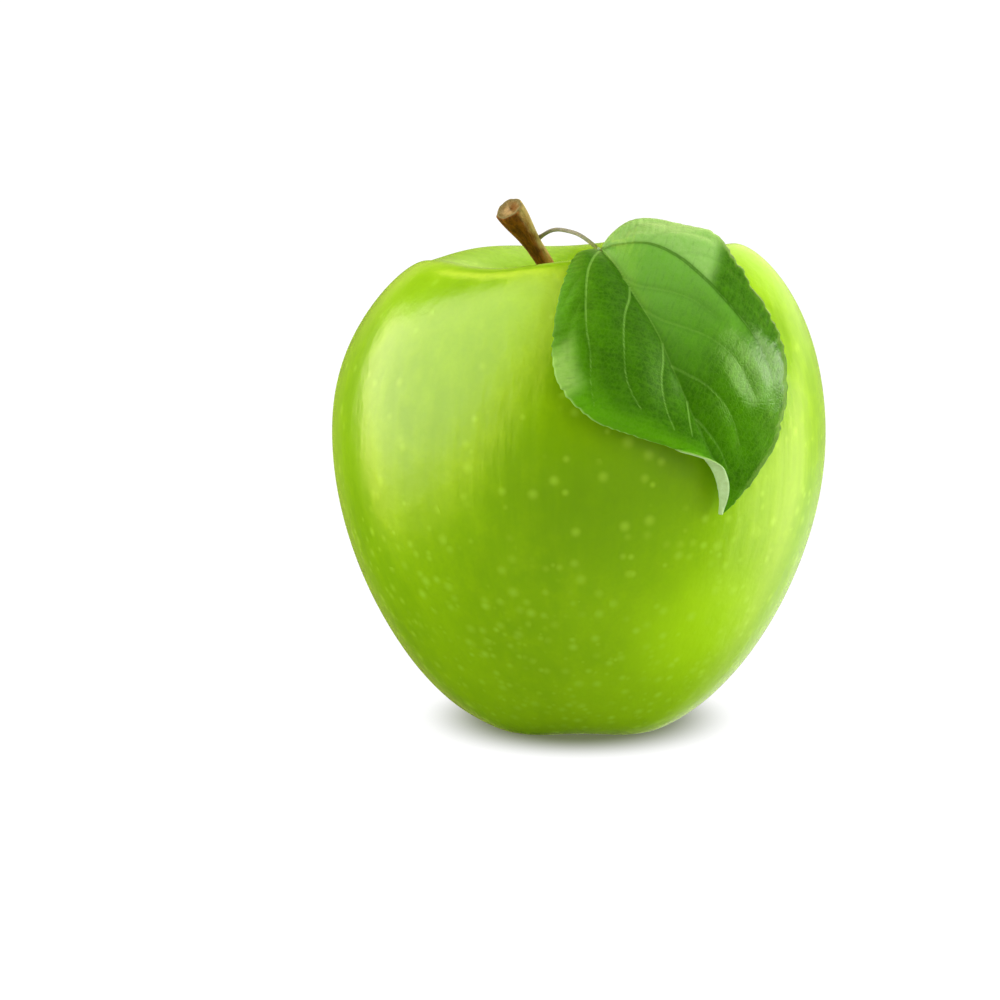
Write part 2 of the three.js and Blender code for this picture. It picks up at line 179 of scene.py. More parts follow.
# ---- colours, linear ----
SKIN_DEEP = (0.21, 0.42, 0.0)
SKIN_BRIGHT = (0.273, 0.52, 0.0)
SKIN_STREAK = (0.336, 0.6, 0.001)
SKIN_FOOT_TONE = (0.346, 0.6, 0.0)
SKIN_PAINTED_LIGHT = (0.43, 0.76, 0.002)
SKIN_LEAF_SHADOW = (0.13, 0.29, 0.0)
SKIN_CAVITY = (0.315, 0.54, 0.001)
RUSSET = (0.2, 0.12, 0.03)
LENTICEL = (0.5, 0.8, 0.05)
LEAF_DEEP = (0.028, 0.12, 0.0)
LEAF_MID = (0.055, 0.21, 0.0)
LEAF_LIGHT = (0.11, 0.37, 0.002)
LEAF_INNER_SHEEN = (0.17, 0.41, 0.055)
LEAF_SHOULDER_SHEEN = (0.3, 0.55, 0.13)
LEAF_MARGIN_REFLECTION = (0.32, 0.56, 0.11)
LEAF_VEIN = (0.26, 0.52, 0.08)
LEAF_RIM = (0.36, 0.6, 0.14)
UNDERSIDE_DEEP = (0.48, 0.68, 0.28)
UNDERSIDE_LIGHT = (0.56, 0.77, 0.36)
UNDERSIDE_VEIN = (0.66, 0.8, 0.42)

BARK_DEEP = (0.085, 0.026, 0.0)
BARK_RED = (0.26, 0.08, 0.001)
BARK_RUST_PAINTED_LIGHT = (0.42, 0.18, 0.012)
BARK_TAN_AND_PAINTED_LIGHT = (0.4, 0.3, 0.08)
WOOD_DARK = (0.2, 0.125, 0.03)
WOOD_PALE = (0.33, 0.23, 0.08)
WOOD_BRIGHT = (0.62, 0.4, 0.16)
WOOD_PITH = (0.22, 0.09, 0.015)
WOOD_RIM = (0.22, 0.17, 0.06)
CALYX_DARK = (0.05, 0.03, 0.015)
CALYX_DRY = (0.24, 0.17, 0.09)
STALK_GREY = (0.3, 0.285, 0.22)
STALK_GREEN = (0.1, 0.16, 0.02)

# Painted shade and light on the skin: a darker green spot of painted shadow under the leaf, and paler
# spots of painted light low down and on the shoulders: the middle of each spot, how far from it the spot
# fades out and in, and how much it changes the skin.
LEAF_SHADOW_SPOT = (6, -38, 45)
LEAF_SHADOW_FADE = (24, 2)
LEAF_SHADOW_SHARE = 0.6
LOW_PAINTED_LIGHT_SPOT = (19, -26, 20)
LOW_PAINTED_LIGHT_FADE = (16, 3)
LOW_PAINTED_LIGHT_SHARE = 0.6
SHOULDER_LIGHT_SPOTS = [(26, -13, 76), (-27, -13, 73)]
SHOULDER_LIGHT_FADE = (13, 3)
SHOULDER_LIGHT_SHARE = 0.42
# Dots of the skin: spacing and largest radius in mm.
LARGE_DOTS = (3.5, 1.3)
SMALL_DOTS = (2.5, 1.15)
SPECKS = (1.6, 0.7)
DOT_SHARE = 0.42

# ---- camera and picture ----
CAMERA_ELEVATION = radians(9.5)
CAMERA_DISTANCE = 800.0
PICTURE_PIXELS = 1000
MM_PER_PIXEL = 0.1638
FOOT_PIXEL = (577.6, 715.5)
SENSOR = 36.0

# ---- floor and light ----
FLOOR_COLOUR = (0.5, 0.5, 0.5)
FLOOR_SEEN_COLOUR = (0.06, 0.06, 0.06)
CONTACT_SHADE = (0.14, 0.165, 0.08)
CONTACT_REACH = (17, 35)
CONTACT_NARROWING = 1.3
# Light from below and from each side, then what the gloss mirrors.
LEFT_BOUNCE = 0.0
RIGHT_BOUNCE = 0.19
AMBIENT_LIGHT = 0.026
LEFT_LIGHT = 2.9
RIGHT_LIGHT = 3.8
BACK_LIGHT = 0.24
TOP_LIGHT = 0.38
DIM_GLOW = 0.02
WINDOW_GLOW = (6.2, 5.5, 0.9)
WINDOW_CORE_GLOW = (1.2, 1.1, 3.6)
LOW_PANEL_GLOW = (4.7, 4.3, 2.3)
SIDE_PANEL_GLOW = (0.5, 0.6, 0.0)
OVERHEAD_GLOW = (0.3, 0.35, 0.3)
LEFT_WALL_GLOW = (0.85, 0.75, 0.25)
RIGHT_WALL_GLOW = (1.7, 1.8, 0.8)
RIGHT_LOW_WALL_GLOW = (0.4, 0.4, 0.5)
# The small card that the leaf mirrors: how far it is to the right, its corners as (back, up), its glow.
CARD_DISTANCE = 90.0
CARD_CORNERS = [(-72, 59), (-3, 59), (-3, 75), (-72, 101)]
CARD_GLOW = (16.0, 14.5, 16.5)

# The row's origin is under the middle of the whole apple's box, so the fruit's axis stands a little off.
fruit_low, fruit_high = np.array(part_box("fruit"))
AXIS_PLACE = np.array([*((fruit_low + fruit_high)[:2] / (2 * MM)) - (LEAN, 0), 0])


# ---- curves and shapes ----

def smooth(t):
    t = np.clip(t, 0, 1)
    return t * t * (3 - 2 * t)


def unit(v):
    return v / np.maximum(np.linalg.norm(v, axis=-1, keepdims=True), 1e-12)


def bezier(points, t):
    a, b, c, d = (np.array(p, float) for p in points)
    t = np.asarray(t, float)[..., None]
    return (1 - t) ** 3 * a + 3 * (1 - t) ** 2 * t * b + 3 * (1 - t) * t * t * c + t ** 3 * d


def spline(points, t, free_ends=False):
    """A Catmull-Rom curve through evenly timed points."""
    p = np.array(points, float)
    last = len(p) - 1
    x = np.clip(np.asarray(t, float), 0, 1) * last
    i = np.minimum(x.astype(int), last - 1)
    f = (x - i)[..., None]
    a, b, c, d = (p[np.clip(i + k, 0, last)] for k in (-1, 0, 1, 2))
    if free_ends:
        a = np.where((i == 0)[..., None], 2 * b - c, a)
        d = np.where((i == last - 1)[..., None], 2 * c - b, d)
    square = (2 * a - 5 * b + 4 * c - d) * f ** 2
    cube = (3 * b - a - 3 * c + d) * f ** 3
    return 0.5 * (2 * b + (c - a) * f + square + cube)


def graph(values, t):
    return spline([(0, v) for v in values], t)[..., 1]


def meridian():
    """The four arcs of half the fruit's section, from the calyx basin to the stem cavity."""
    r, h, w, floor = FRUIT_RADIUS, FRUIT_HEIGHT, WIDEST_HEIGHT, FRUIT_HEIGHT - CAVITY_DEPTH
    inner, outer = FOOT_RADIUS - FOOT_WIDTH / 2, FOOT_RADIUS + FOOT_WIDTH / 2
    cavity_floor = (SOCKET_RADIUS + CAVITY_FLOOR_HANDLE[0], floor + CAVITY_FLOOR_HANDLE[1])
    basin = [(SOCKET_RADIUS, BASIN_DEPTH), (SOCKET_RADIUS + BASIN_FLOOR_HANDLE, BASIN_DEPTH),
             (inner - BASIN_WALL_HANDLE, 0), (inner, 0)]
    lower_side = [(outer, 0), (outer + FOOT_HANDLE, 0), (r, w - LOWER_SIDE_HANDLE), (r, w)]
    upper_side = [(r, w), (r, w + UPPER_SIDE_HANDLE), (CREST_RADIUS + SHOULDER_HANDLE, h),
                  (CREST_RADIUS, h)]
    cavity = [(CREST_RADIUS, h), (CREST_RADIUS - CAVITY_EDGE_HANDLE, h), cavity_floor,
              (SOCKET_RADIUS, floor)]
    return [basin, lower_side, upper_side, cavity]


def grow(p):
    """The crooked growth of the round section. The leaf follows it too."""
    x, y, z = p[..., 0], p[..., 1], p[..., 2]
    crown = smooth((z - WIDEST_HEIGHT) / (FRUIT_HEIGHT - WIDEST_HEIGHT))
    radius = np.hypot(x, y)
    lobes = np.cos(LOBES * (np.arctan2(y, x) - LOBE_PHASE))
    tilt = CROWN_TILT[0] * x + CROWN_TILT[1] * y
    crown_lobe = -CROWN_LOBE * np.minimum(radius / CREST_RADIUS, 1) * lobes
    foot = (1 - smooth(z / FOOT_FADE)) * np.minimum(radius / FOOT_RADIUS, 1)
    foot_rise = foot * (FOOT_LOBE * (1 - lobes) / 2 - FOOT_FLAT)
    lifted = z + crown * (tilt + crown_lobe) + foot_rise
    return np.stack([x + LEAN * smooth(z / WIDEST_HEIGHT), y, np.maximum(lifted, 0)], -1)


OUTER = np.concatenate([bezier(arc, np.linspace(0, 1, 41)) for arc in meridian()[1:3]])
SKIN_SLOPE = np.arctan2(OUTER[:, 1] - FRUIT_MIDDLE, OUTER[:, 0])
SKIN_REACH = np.hypot(OUTER[:, 1] - FRUIT_MIDDLE, OUTER[:, 0])


def skin_reach(slope):
    over_crown = (FRUIT_HEIGHT - FRUIT_MIDDLE) / np.sin(np.maximum(slope, 0.3))
    return np.where(slope > SKIN_SLOPE[-1], over_crown, np.interp(slope, SKIN_SLOPE, SKIN_REACH))


LEAF_OUT = np.array([cos(LEAF_ELEVATION) * cos(LEAF_AZIMUTH), cos(LEAF_ELEVATION) * sin(LEAF_AZIMUTH),
                     sin(LEAF_ELEVATION)])
LEAF_EAST = np.array([-sin(LEAF_AZIMUTH), cos(LEAF_AZIMUTH), 0])
LEAF_NORTH = np.cross(LEAF_OUT, LEAF_EAST)


def drape(east, north, clearance):
    """A point of the plan, wrapped round the fruit and held clear of its skin."""
    length = np.maximum(np.hypot(east, north), 1e-6)
    angle = length / LEAF_WRAP_RADIUS
    across, up = np.sin(angle) * east / length, np.sin(angle) * north / length
    direction = (LEAF_OUT * np.cos(angle)[..., None] + LEAF_EAST * across[..., None]
                 + LEAF_NORTH * up[..., None])
    slope = np.arctan2(direction[..., 2], np.hypot(direction[..., 0], direction[..., 1]))
    p = direction * (skin_reach(slope) + clearance)[..., None] + (0, 0, FRUIT_MIDDLE)
    return grow(p)


def roll(u, turn):
    """The rolled margin: flat, then an arc, then flat again, in shares of the half-width."""
    start, stop = ROLL_BEND
    angle = np.maximum(turn, 1e-6)
    radius = (stop - start) / angle
    turned = angle * np.clip((u - start) / (stop - start), 0, 1)
    rest = np.maximum(u - stop, 0)
    across = np.minimum(u, start) + radius * np.sin(turned) + rest * np.cos(angle)
    return across, radius * (1 - np.cos(turned)) + rest * np.sin(angle)


def leaf_sheet(s, u, side):
    """Middle surface of the leaf: place, flat plan and distance in from the margin, for each s and u."""
    left = side < 0
    rib = spline(RIB, s)
    half = spline(LEFT_MARGIN if left else RIGHT_MARGIN, s) - rib
    width = np.linalg.norm(half, axis=-1)
    phase = (s + 0.004 * np.sin(31 * s) + 0.003 * np.sin(71 * s + 1)) * TEETH % 1
    tooth = np.where(phase < TOOTH_PEAK, phase / TOOTH_PEAK, (1 - phase) / (1 - TOOTH_PEAK))
    depth = TOOTH_DEPTH * (1 + 0.5 * np.sin(43 * s) + 0.3 * np.sin(97 * s + 2)) * (0.7 if left else 1.2)
    fade = np.minimum.reduce([s / TOOTH_RUN_IN, (1 - s) / TOOTH_RUN_IN, width / TOOTH_HALF_WIDTH,
                              1 + 0 * s])
    cut = width - depth * (1 - tooth) * fade
    if not left:
        for place_along, reach, bite in NOTCHES:
            cut = cut - bite * smooth(1 - np.abs(s - place_along) / reach)
    half = half / width[..., None] * cut[..., None]
    across, up = roll(u, (ROLL_ANGLE if left else 0) * smooth((s - ROLL_FROM) / ROLL_OVER))
    p = rib + half * across[..., None]
    flat = rib + half * u[..., None]
    c, n = cos(LEAF_LEAN), sin(LEAF_LEAN)
    east = LEAF_BASE[0] + p[..., 0] * c + p[..., 1] * n
    north = LEAF_BASE[1] + p[..., 0] * n - p[..., 1] * c
    rise = graph(LEFT_RISE if left else RIGHT_RISE, s) * u ** RISE_POWER
    swell = graph(SWELL, s) * 4 * u * (1 - u)
    return drape(east, north, graph(RIB_CLEARANCE, s) + (rise + swell) + width * up), flat, (1 - u) * cut


def stem_radius(t):
    shaft = STEM_ROOT_RADIUS + (STEM_RADIUS - STEM_ROOT_RADIUS) * t
    swelling = smooth((t - 0.7) / 0.3)
    return shaft + (STEM_END_RADIUS - shaft) * swelling


def rings_along(path):
    """Two directions across a path at each of its points, with no twist."""
    tangent = unit(np.gradient(path, axis=0))
    side = unit(np.cross([0, 1, 0], tangent))
    return side, np.cross(tangent, side)


def tube(path, radius, around):
    """Points of a tube: radius is one number a ring, or one for each point of it."""
    side, front = rings_along(path)
    a = np.linspace(0, 2 * pi, around, endpoint=False)
    radius = np.broadcast_to(np.asarray(radius, float).reshape(len(path), -1), (len(path), around))
    return (path[:, None] + radius[..., None]
            * (np.cos(a)[:, None] * side[:, None] + np.sin(a)[:, None] * front[:, None]))


# ---- meshes ----

def place(points):
    """Millimetres in the fruit's frame to metres in the row's."""
    return (np.asarray(points, float).reshape(-1, 3) + AXIS_PLACE) * MM


def build(name, points, faces, material, **attributes):
    mesh = bpy.data.meshes.new(name)
    mesh.from_pydata(place(points).tolist(), [], [list(f) for f in faces])
    for key, values in attributes.items():
        layer = mesh.attributes.new(key, "FLOAT", "POINT")
        layer.data.foreach_set("value", np.asarray(values, np.float32).ravel())
    mesh.materials.append(material)
    mesh.polygons.foreach_set("use_smooth", [True] * len(mesh.polygons))
    mesh.update()
    piece = bpy.data.objects.new(name, mesh)
    bpy.context.scene.collection.objects.link(piece)
    return piece


def closed_rings(rings, around):
    """Faces between rings of points, with a fan over each end. The two end points come last."""
    faces = []
    for i in range(rings - 1):
        for j in range(around):
            a, b = i * around + j, i * around + (j + 1) % around
            faces.append((a, b, b + around, a + around))
    first, last = rings * around, rings * around + 1
    for j in range(around):
        k = (j + 1) % around
        faces.append((first, k, j))
        faces.append((last, (rings - 1) * around + j, (rings - 1) * around + k))
    return faces


def blade_faces(rows, columns):
    """Faces of a thin closed blade: the upper grid of points, then the lower, and the rim."""
    back = rows * columns
    faces = []
    for i in range(rows - 1):
        for j in range(columns - 1):
            a = i * columns + j
            faces.append((a, a + columns, a + columns + 1, a + 1))
            faces.append((back + a, back + a + 1, back + a + columns + 1, back + a + columns))
    rim = list(range(columns - 1))
    rim += [i * columns + columns - 1 for i in range(rows - 1)]
    rim += [(rows - 1) * columns + j for j in range(columns - 1, 0, -1)]
    rim += [i * columns for i in range(rows - 1, 0, -1)]
    for a, b in zip(rim, rim[1:] + rim[:1]):
        faces.append((a, b, back + b, back + a))
    return faces


def grid_normals(grid):
    down = np.gradient(grid, axis=0)
    over = np.gradient(grid, axis=1)
    return unit(np.cross(down, over))


def noise_sum(p, waves, size, seed):
    """A soft random field: a sum of a few waves of about the given size in mm."""
    draw = np.random.default_rng(seed)
    total = np.zeros(p.shape[:-1])
    for _ in range(waves):
        way = unit(draw.normal(size=3)) * 2 * pi / (size * draw.uniform(0.7, 1.5))
        total += np.sin(p @ way + draw.uniform(0, 2 * pi))
    return total / np.sqrt(waves)


# ---- materials ----

class Nodes:
    """Short calls for building a shader: an input is a number, a colour or another node's output."""

    def __init__(self, tree):
        self.tree = tree
        tree.nodes.clear()

    def add(self, kind, inputs=None, out=0, **settings):
        node = self.tree.nodes.new(kind)
        for key, value in settings.items():
            setattr(node, key, value)
        for key, value in (inputs or {}).items():
            if isinstance(value, bpy.types.NodeSocket):
                self.tree.links.new(value, node.inputs[key])
            else:
                node.inputs[key].default_value = value
        return node.outputs[out] if len(node.outputs) else node

    def math(self, operation, a, b=0.0, c=0.0, clamp=False):
        return self.add("ShaderNodeMath", {0: a, 1: b, 2: c}, operation=operation, use_clamp=clamp)

    def ramp(self, value, low, high, to_low=0.0, to_high=1.0):
        inputs = {"Value": value, "From Min": low, "From Max": high, "To Min": to_low, "To Max": to_high}
        return self.add("ShaderNodeMapRange", inputs, interpolation_type="SMOOTHSTEP")

    def mix(self, share, a, b, blend="MIX"):
        node = self.tree.nodes.new("ShaderNodeMix")
        node.data_type = "RGBA"
        node.blend_type = blend
        for key, value in ((0, share), (6, a), (7, b)):
            if isinstance(value, bpy.types.NodeSocket):
                self.tree.links.new(value, node.inputs[key])
            else:
                node.inputs[key].default_value = value if key == 0 else (*value, 1)
        return node.outputs[2]

    def place_mm(self):
        """Where on the row the surface is, in mm."""
        return self.scaled(self.add("ShaderNodeTexCoord", out="Object"), (1000, 1000, 1000))

    def attribute(self, name):
        return self.add("ShaderNodeAttribute", out="Fac", attribute_name=name)

    def noise(self, vector, scale, detail=2.0, roughness=0.5):
        inputs = {"Vector": vector, "Scale": scale, "Detail": detail, "Roughness": roughness}
        return self.add("ShaderNodeTexNoise", inputs)

    def scaled(self, vector, by):
        return self.add("ShaderNodeVectorMath", {0: vector, 1: by}, operation="MULTIPLY")


def product(n, *factors):
    total = factors[0]
    for factor in factors[1:]:
        total = n.math("MULTIPLY", total, factor)
    return total


def material(name):
    made = bpy.data.materials.new(name)
    made.use_nodes = True
    return made, Nodes(made.node_tree)


def finish_material(n, colour, roughness, height=None, bump=1.0, **constants):
    """constants are values that are the same all over, set on the shader's own sockets."""
    shader = n.tree.nodes.new("ShaderNodeBsdfPrincipled")
    for key, value in (("Base Color", colour), ("Roughness", roughness)):
        if isinstance(value, bpy.types.NodeSocket):
            n.tree.links.new(value, shader.inputs[key])
        else:
            shader.inputs[key].default_value = value
    for key, value in constants.items():
        shader.inputs[key.replace("_", " ")].default_value = value
    if height is not None:
        normal = n.add("ShaderNodeBump", {"Height": height, "Distance": MM, "Strength": bump})
        n.tree.links.new(normal, shader.inputs["Normal"])
    n.add("ShaderNodeOutputMaterial", {"Surface": shader.outputs[0]})


def lenticels(n, where, cell, radius, keep):
    """Pale dots, sizes in mm: spheres round the points of a Voronoi pattern, cut by the skin.

    keep is the share of the points that carry a dot.
    """
    voronoi = n.tree.nodes.new("ShaderNodeTexVoronoi")
    n.tree.links.new(where, voronoi.inputs["Vector"])
    voronoi.inputs["Scale"].default_value = 1 / cell
    draw = n.tree.nodes.new("ShaderNodeSeparateColor")
    n.tree.links.new(voronoi.outputs["Color"], draw.inputs[0])
    distance = n.math("MULTIPLY", voronoi.outputs["Distance"], cell)
    size = n.math("MULTIPLY_ADD", draw.outputs[0], 0.5 * radius, 0.5 * radius)
    dot = n.ramp(n.math("DIVIDE", distance, size), 1.1, 0.0)
    return n.math("MULTIPLY", dot, n.math("LESS_THAN", draw.outputs[1], keep))


def spot(n, mm, centre):
    """Distance in mm from a place on the row."""
    return n.add("ShaderNodeVectorMath", {0: mm, 1: centre}, out="Value", operation="DISTANCE")


def skin_material():
    made, n = material("apple_skin")
    mm = n.place_mm()
    parts = n.tree.nodes.new("ShaderNodeSeparateXYZ")
    n.tree.links.new(mm, parts.inputs[0])
    height = parts.outputs[2]
    depth = n.attribute("cavity")

    blotch = n.noise(n.scaled(mm, (0.035, 0.035, 0.025)), 1.0, 3.0)
    streak = n.noise(n.scaled(mm, (0.4, 0.4, 0.03)), 1.0, 4.0, 0.6)
    patch = n.noise(mm, 0.28, 3.0)
    fine = n.noise(mm, 1.6, 3.0)
    green = n.mix(n.ramp(blotch, 0.3, 0.7), SKIN_DEEP, SKIN_BRIGHT)
    green = n.mix(n.ramp(streak, 0.35, 0.75, 0, 0.35), green, SKIN_STREAK)
    green = n.mix(n.ramp(patch, 0.4, 0.8, 0, 0.4), green, SKIN_STREAK)
    green = n.mix(n.ramp(fine, 0.3, 0.8, 0, 0.25), green, SKIN_DEEP)
    # Paler and yellower towards the foot.
    green = n.mix(n.ramp(height, 34, 2, 0, 0.35), green, SKIN_FOOT_TONE)
    # Painted shadow: the skin darker and greener where the leaf shades it.
    green = n.mix(n.ramp(spot(n, mm, LEAF_SHADOW_SPOT), *LEAF_SHADOW_FADE, 0, LEAF_SHADOW_SHARE), green, SKIN_LEAF_SHADOW)
    # Painted light: paler, yellower skin low down at the front right and on both shoulders.
    green = n.mix(n.ramp(spot(n, mm, LOW_PAINTED_LIGHT_SPOT), *LOW_PAINTED_LIGHT_FADE, 0, LOW_PAINTED_LIGHT_SHARE), green, SKIN_PAINTED_LIGHT)
    for centre in SHOULDER_LIGHT_SPOTS:
        green = n.mix(n.ramp(spot(n, mm, centre), *SHOULDER_LIGHT_FADE, 0, SHOULDER_LIGHT_SHARE), green, SKIN_PAINTED_LIGHT)
    green = n.mix(n.ramp(depth, 0.1, 0.9, 0, 0.6), green, SKIN_CAVITY)
    russet = n.math("MULTIPLY", n.ramp(depth, 0.75, 1.0), n.ramp(patch, 0.3, 0.6))
    green = n.mix(n.math("MULTIPLY", russet, 0.7), green, RUSSET)

    # Dots, denser towards the foot.
    large = lenticels(n, mm, *LARGE_DOTS, n.ramp(height, 62, 26, 0.2, 0.9))
    small_place = n.add("ShaderNodeVectorMath", {0: mm, 1: (7.3, 2.1, 5.7)})
    small = lenticels(n, small_place, *SMALL_DOTS, n.ramp(height, 52, 14, 0.08, 0.85))
    speck_place = n.add("ShaderNodeVectorMath", {0: mm, 1: (1.7, 9.2, 3.3)})
    specks = lenticels(n, speck_place, *SPECKS, n.ramp(height, 30, 4, 0.0, 0.7))
    dots = n.math("MAXIMUM", large, n.math("MULTIPLY", small, 0.8))
    dots = n.math("MAXIMUM", dots, n.math("MULTIPLY", specks, 0.5))
    green = n.mix(n.math("MULTIPLY", dots, DOT_SHARE), green, LENTICEL)

    roughness = n.ramp(fine, 0.2, 0.8, 0.19, 0.25)
    relief = n.math("MULTIPLY", dots, 0.015)
    relief = n.math("MULTIPLY_ADD", streak, 0.09, relief)
    relief = n.math("MULTIPLY_ADD", patch, 0.1, relief)
    relief = n.math("MULTIPLY_ADD", fine, 0.012, relief)
    finish_material(n, green, roughness, relief, 1.0, IOR=1.38, Subsurface_Weight=0.15,
                    Subsurface_Radius=(1.0, 1.0, 0.2), Subsurface_Scale=0.0012)
    return made


def leaf_material():
    made, n = material("leaf_blade")
    mm = n.place_mm()
    across, along, right = n.attribute("across"), n.attribute("along"), n.attribute("right")
    rib_gap, vein_gap, inset = n.attribute("rib"), n.attribute("vein"), n.attribute("inset")
    outer = n.attribute("outer")
    under = n.ramp(n.attribute("under"), 0.35, 0.65)
    left = n.math("SUBTRACT", 1.0, right)

    # The finest veins run out from the rib at a slant, joined by a faint net.
    slant = n.math("MULTIPLY_ADD", right, -2.0, 1.0)
    turned = n.math("MULTIPLY_ADD", n.math("MULTIPLY", across, slant), -0.8, along)
    run = n.math("MULTIPLY_ADD", n.math("MULTIPLY", along, slant), 0.8, across)
    thread_place = n.add("ShaderNodeCombineXYZ", {0: n.math("MULTIPLY", turned, 1.5),
                                                  1: n.math("MULTIPLY", run, 0.28), 2: 0.0})
    threads = n.noise(thread_place, 1.0, 3.0, 0.6)
    net_place = n.add("ShaderNodeCombineXYZ", {0: across, 1: along, 2: 0.0})
    cell = n.tree.nodes.new("ShaderNodeTexVoronoi")
    cell.feature = "DISTANCE_TO_EDGE"
    n.tree.links.new(net_place, cell.inputs["Vector"])
    cell.inputs["Scale"].default_value = 1.5
    net = n.ramp(cell.outputs["Distance"], 0.2, 0.0)
    blotch = n.noise(mm, 0.12, 3.0)
    fine = n.noise(mm, 1.1, 4.0, 0.6)
    rib = n.ramp(rib_gap, 0.42, 0.16)
    vein = n.ramp(vein_gap, 0.34, 0.12)
    # Painted shade: darker in the grooves along the rib and veins and in the crease along the outer vein.
    groove = n.math("MAXIMUM", n.ramp(vein_gap, 1.0, 0.3, 0.0, 0.15), n.ramp(rib_gap, 0.9, 0.3, 0.0, 0.2))
    outer_crease_shade = product(n, outer, n.math("SUBTRACT", 1.0, outer), 4.0, n.ramp(along, 38, 30))
    groove = n.math("MAXIMUM", groove, n.ramp(outer_crease_shade, 0.35, 0.9, 0.0, 0.75))

    upper = n.mix(n.ramp(blotch, 0.3, 0.7), LEAF_DEEP, LEAF_MID)
    # Painted shade: the left half darker towards the rib, where it faces away from the light.
    upper = n.mix(n.math("MULTIPLY", left, n.ramp(across, -11, -5, 0.0, 0.8)), upper, LEAF_DEEP)
    # Paler zones: the left margin and a painted reflection on it, a painted sheen on the strip between the
    # rib and the outer vein, and a painted sheen on the shoulder beyond that vein, which ends in deep green.
    margin = product(n, left, n.ramp(inset, 7.5, 1.0), n.ramp(along, 11, 23), n.ramp(along, 46, 36))
    upper = n.mix(margin, upper, LEAF_LIGHT)
    # Painted reflection: a pale patch on the left margin.
    margin_reflection = product(n, left, n.ramp(inset, 5.0, 1.8), n.ramp(along, 12.5, 15.5),
                           n.ramp(along, 23, 19.5))
    upper = n.mix(n.math("MULTIPLY", margin_reflection, 0.9), upper, LEAF_MARGIN_REFLECTION)
    # Painted sheen: the strip between the rib and the outer vein, fading towards the tip.
    inner = product(n, right, n.math("SUBTRACT", 1.0, outer), n.ramp(along, 33, 7))
    upper = n.mix(n.math("MULTIPLY", inner, 0.9), upper, LEAF_INNER_SHEEN)
    # Painted sheen: the shoulder beyond the outer vein, then deep green further out.
    shoulder = n.math("MULTIPLY_ADD", across, 0.87, along)
    upper = n.mix(product(n, outer, n.ramp(shoulder, 27.5, 23.0), 0.9), upper, LEAF_SHOULDER_SHEEN)
    upper = n.mix(product(n, outer, n.ramp(shoulder, 23.5, 27.5), 0.85), upper, LEAF_DEEP)
    # Fine mottle, threads and net, then painted shade in the grooves and the crease, veins and the pale rim.
    upper = n.mix(n.ramp(fine, 0.35, 0.75, 0, 0.25), upper, LEAF_LIGHT)
    upper = n.mix(n.ramp(threads, 0.4, 0.75, 0, 0.22), upper, LEAF_LIGHT)
    upper = n.mix(n.ramp(threads, 0.5, 0.25, 0, 0.25), upper, LEAF_DEEP)
    upper = n.mix(n.math("MULTIPLY", net, 0.06), upper, LEAF_VEIN)
    upper = n.mix(groove, upper, LEAF_DEEP)
    upper = n.mix(n.math("MULTIPLY", vein, n.math("MULTIPLY_ADD", right, -0.3, 0.5)), upper, LEAF_VEIN)
    upper = n.mix(n.math("MULTIPLY", rib, n.ramp(along, 40, 4, 0.15, 0.5)), upper, LEAF_VEIN)
    rim = product(n, left, n.ramp(inset, 0.5, 0.1), n.ramp(along, 12, 20))
    upper = n.mix(n.math("MULTIPLY", rim, 0.7), upper, LEAF_RIM)
    lower = n.mix(n.ramp(fine, 0.3, 0.7), UNDERSIDE_DEEP, UNDERSIDE_LIGHT)
    lower = n.mix(n.math("MULTIPLY", n.math("MAXIMUM", rib, vein), 0.6), lower, UNDERSIDE_VEIN)
    colour = n.mix(under, upper, lower)

    # The upper side is glossiest at the right and dull where the left half folds.
    dull = n.math("MULTIPLY", left, n.ramp(along, 27, 33, 0.0, 0.5))
    roughness = n.math("ADD", n.ramp(right, 0.2, 0.8, 0.45, 0.22), dull)
    roughness = n.ramp(under, 0, 1, roughness, 0.6)
    relief = n.math("MULTIPLY", fine, 0.04)
    relief = n.math("MULTIPLY_ADD", threads, 0.055, relief)
    relief = n.math("MULTIPLY_ADD", net, -0.02, relief)
    relief = n.math("MULTIPLY_ADD", vein, -0.05, relief)
    finish_material(n, colour, roughness, relief, 0.5, IOR=1.25, Specular_Tint=(0.7, 1.0, 0.3, 1),
                    Subsurface_Weight=0.06, Subsurface_Radius=(0.6, 1.0, 0.2), Subsurface_Scale=0.0006)
    return made


